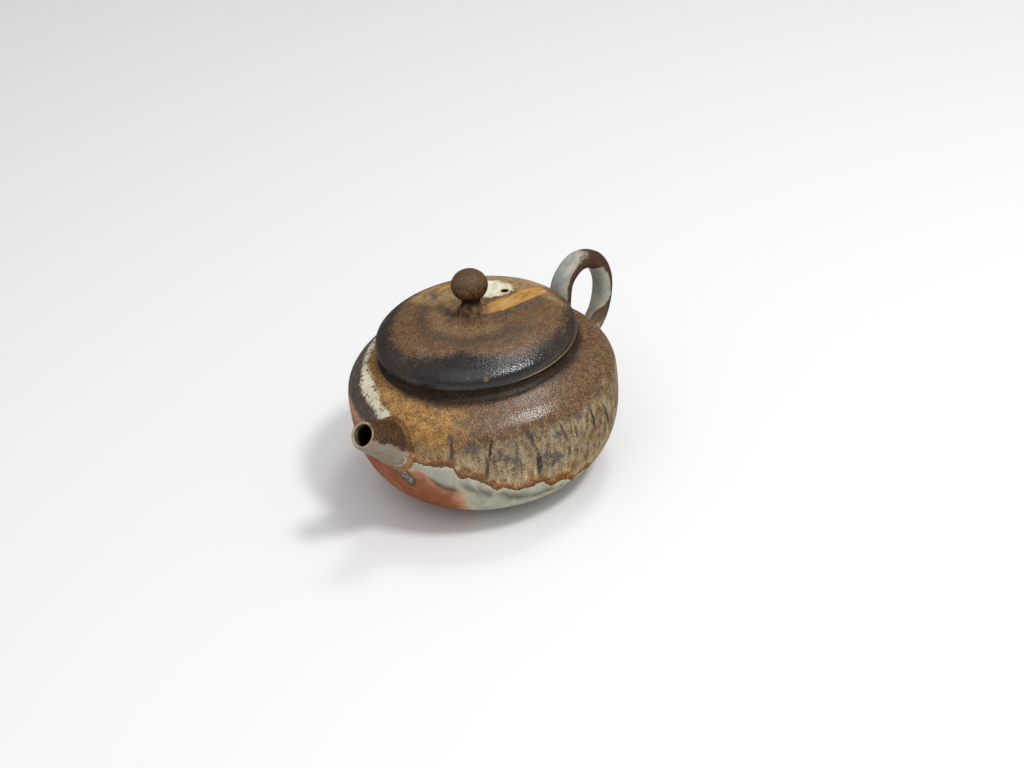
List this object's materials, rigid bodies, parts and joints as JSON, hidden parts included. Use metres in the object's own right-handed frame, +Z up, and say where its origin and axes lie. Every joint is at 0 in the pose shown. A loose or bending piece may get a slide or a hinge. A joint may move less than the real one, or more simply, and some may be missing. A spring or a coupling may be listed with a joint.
{
  "type": "porcelain teapot",
  "caption": "Round wood-fired porcelain teapot with a short straight tapered spout, a side loop handle and a domed lift-off lid with a ball knob.",
  "frame": {"origin": "on the pot's own vertical axis at table height, the middle of the flat underside of the foot", "axes": "+Z up along the pot's turning axis, +X towards the spout, -X towards the handle"},
  "size_m": [0.1273, 0.088, 0.0745],
  "materials": {
    "body_glaze": "wood-fired ash glaze, brown and ochre above a pale celadon belly, satin with an orange-peel grain",
    "foot_clay": "bare flashed clay, matt, with pale wad marks",
    "collar_glaze": "dark ash glaze, satin",
    "spout_glaze": "granular dark brown above, grey-white below, with a cream lip line",
    "strainer_clay": "pale glaze, thin at the hole edges",
    "handle_glaze": "grey celadon with chocolate brown at the top and along the inner edge",
    "lid_glaze": "brown with charcoal band, ochre streak and a celadon patch, satin",
    "flange_clay": "bare pale porcelain, matt, with a worn edge",
    "knob_glaze": "dark speckled brown, dry to satin"
  },
  "bodies": {
    "pot": {"body_shell": "body_glaze", "foot_disc": "foot_clay", "neck_collar": "collar_glaze", "spout": "spout_glaze", "spout_strainer": "strainer_clay", "handle": "handle_glaze"},
    "lid": {"lid_dome": "lid_glaze", "lid_flange": "flange_clay", "lid_knob": "knob_glaze"}
  },
  "joints": [
    {"name": "lid_lift", "type": "slide", "parent": "pot", "child": "lid", "axis": [0, 0, 1], "range_m": [0, 0.05]}
  ]
}
